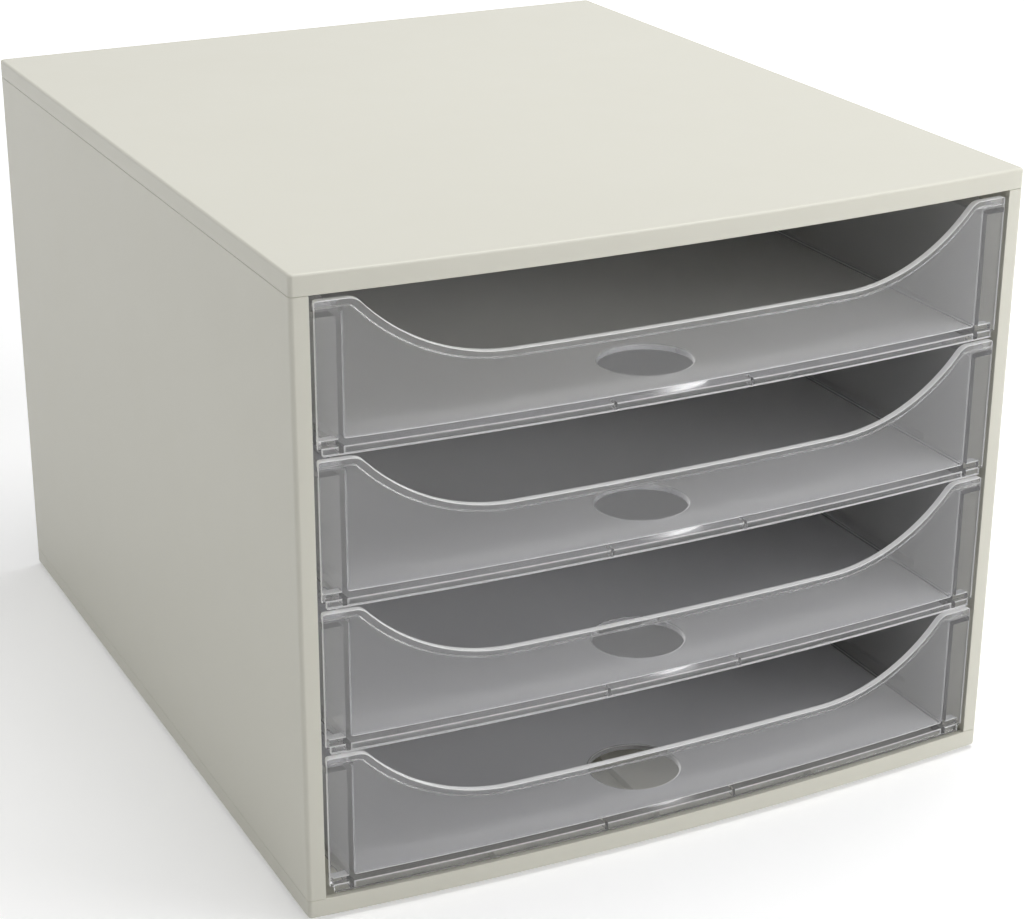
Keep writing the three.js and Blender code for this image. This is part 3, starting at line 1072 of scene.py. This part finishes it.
def clear_polystyrene():
    """Grey polystyrene: clear in the front plate, frosted in the tray, with painted highlights and
    a painted glow along the edges.
    """
    clear_grey = (0.87, 0.87, 0.875, 1)
    wall_grey = (0.79, 0.797, 0.85, 1)
    frosted_grey = (0.88, 0.88, 0.895, 1)
    painted_highlight_grey = (0.88, 0.88, 0.88, 1)
    shadow_grey = (0.86, 0.86, 0.865, 1)
    polish = 0.03
    unevenness = 0.03
    plain = {"IOR": plastic_ior, "Transmission Weight": 1, "Specular IOR Level": 0.5}
    finish = Finish("clear_polystyrene", plain)
    finish.feed("Roughness", polish + unevenness * finish.noise(scale=40, detail=3))
    # The marks read back: frost, the painted edge highlight and the painted glow.
    frost, edge, glow = [
        finish.node("Attribute", {"attribute_name": pattern}, {}, "Fac")
        for pattern in face_patterns
    ]
    finish.feed("Base Color", finish.mix(frost * (1 / wall_frost), clear_grey, wall_grey))
    # The frosted shader carries the painted edge highlights in its grey and the painted glow as
    # emission.
    frosted = finish.node("BsdfPrincipled", {}, {
        "Base Color": finish.mix(edge, frosted_grey, painted_highlight_grey),
        "Roughness": 0.35,
        "IOR": plastic_ior,
        "Emission Color": finish.mix(glow, black, white),
        "Emission Strength": painted_glow_strength,
    })
    share = frosted_share * frost + painted_highlight_share * edge
    clear = Value(finish, finish.shader.outputs[0])
    surface = finish.node("MixShader", {}, {0: share, 1: clear, 2: frosted})
    through = finish.node("BsdfTransparent", {}, {"Color": shadow_grey})
    shadow_ray = finish.node("LightPath", {}, {}, "Is Shadow Ray")
    let_through = shadow_ray + shadow_ray.beside("Is Diffuse Ray")
    passing = let_through * (1 - plate_shade - (tray_shade - plate_shade) * frost)
    mixed = finish.node("MixShader", {}, {0: passing, 1: surface, 2: through})
    finish.tree.links.new(mixed.socket, finish.output.inputs["Surface"])
    return finish.material


clear_plastic = clear_polystyrene()
first_drawer = drawer_front()
combine(first_drawer, drawer_tray())
for pattern in face_patterns:
    first_drawer.data.attributes.new(pattern, "FLOAT", "FACE")


def place_drawer(number, bottom):
    """Copies the drawer to its place. The lowest one gets no painted highlight along the lower edge
    of its front, which lies in the base's shade.
    """
    mark_faces(first_drawer, 0 if number == drawer_count else painted_skirt_highlight)
    drawer = bpy.data.objects.new(f"drawer_{number}_moulding", first_drawer.data.copy())
    bpy.context.scene.collection.objects.link(drawer)
    move_mesh(drawer, 0, 0, bottom)
    finish_mesh(drawer, clear_plastic, f"drawer_{number}")
    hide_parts(f"drawer_{number}")


for number, bottom in enumerate(drawer_places, start=1):
    place_drawer(number, bottom)
bpy.data.objects.remove(first_drawer, do_unlink=True)

# The studio: a pale floor, a white surround and four soft lamps. The largest hangs over the
# object, one stands off its right front corner and isn't seen in gloss, a small one faces the
# drawers, and one lights the left side of the casing. Lamps are placed in metres.

floor_size = 8
floor_white = (0.8, 0.8, 0.8, 1)
floor_glow = 0.4
far_glow = 1
glow_reach = (0.4, 1.3)


def add_lamp(name, place, target, width, height, watts):
    """A soft rectangular lamp, seen in gloss but not by the camera."""
    light = bpy.data.lights.new(name, "AREA")
    light.shape = "RECTANGLE"
    light.size = width
    light.size_y = height
    light.energy = watts
    lamp = bpy.data.objects.new(name, light)
    lamp.location = place
    aim = Vector(target) - Vector(place)
    lamp.rotation_euler = aim.to_track_quat("-Z", "Y").to_euler()
    lamp.visible_camera = False
    bpy.context.scene.collection.objects.link(lamp)
    return lamp


def seen_by_camera(nodes):
    """Sums the marks of what the camera sees straight, in gloss and through clear plastic."""
    straight = nodes.node("LightPath", {}, {}, "Is Camera Ray")
    return straight + straight.beside("Is Glossy Ray") + straight.beside("Is Transmission Ray")


def studio_floor():
    """A white table top: its shadow shows, and it fades into the white surround."""
    bpy.ops.object.select_all(action="DESELECT")
    bpy.ops.mesh.primitive_plane_add(size=floor_size)
    floor = bpy.context.object
    floor.name = "studio_floor"
    finish = Finish("white_table", {
        "Base Color": floor_white,
        "Roughness": 0.9,
        "Specular IOR Level": 0.1,
        "Emission Strength": 1,
    })
    away = finish.node("VectorMath", {"operation": "LENGTH"}, {0: finish.place()}, "Value")
    glow = finish.node("MapRange", {}, {
        "Value": away,
        "From Min": glow_reach[0],
        "From Max": glow_reach[1],
        "To Min": floor_glow,
        "To Max": far_glow,
    })
    finish.feed("Emission Color", finish.mix(seen_by_camera(finish) * glow, black, white))
    floor.data.materials.append(finish.material)


def white_surround():
    """A world that is white to the camera, in gloss and through plastic, and lights nothing."""
    world = bpy.data.worlds.new("studio")
    world.use_nodes = True
    bpy.context.scene.world = world
    surround = Nodes(world.node_tree)
    background = surround.tree.nodes["Background"]
    background.inputs["Color"].default_value = white
    strength = surround.node("Clamp", {}, {"Value": seen_by_camera(surround)})
    surround.tree.links.new(strength.socket, background.inputs["Strength"])


studio_floor()
white_surround()
object_middle = (0, 0, 0.12)
upper_middle = (0, 0, 0.15)
drawer_fronts = (0, -0.17, 0.12)
add_lamp("overhead", (0.4, -0.05, 1.75), upper_middle, width=1.4, height=1.4, watts=25.5)
corner_lamp = add_lamp("corner", (1.4, -1.31, 0.5), drawer_fronts, width=1, height=0.45, watts=15)
corner_lamp.visible_glossy = False
add_lamp("front", (0.311, -1.329, 0.375), drawer_fronts, width=0.5, height=0.4, watts=2.3)
add_lamp("left", (-1.4, 0, 0.42), object_middle, width=0.9, height=0.8, watts=5)

# The camera stands in front on the left, a little above the cover, as in the photograph. Its
# sensor and lens are in millimetres, its place in metres and its turns in degrees.

camera_place = (-0.39835, -0.82463, 0.46686)
camera_turns = (67.8002, 0.0201, -26.0099)
camera = bpy.data.cameras.new("camera")
camera.sensor_width = 36
camera.lens = 84.010
camera.shift_x = 0.03005
camera.shift_y = -0.00928
viewer = bpy.data.objects.new("camera", camera)
viewer.location = camera_place
viewer.rotation_euler = [math.radians(turn) for turn in camera_turns]
bpy.context.scene.collection.objects.link(viewer)
bpy.context.scene.camera = viewer
bpy.context.scene.view_settings.view_transform = "Standard"
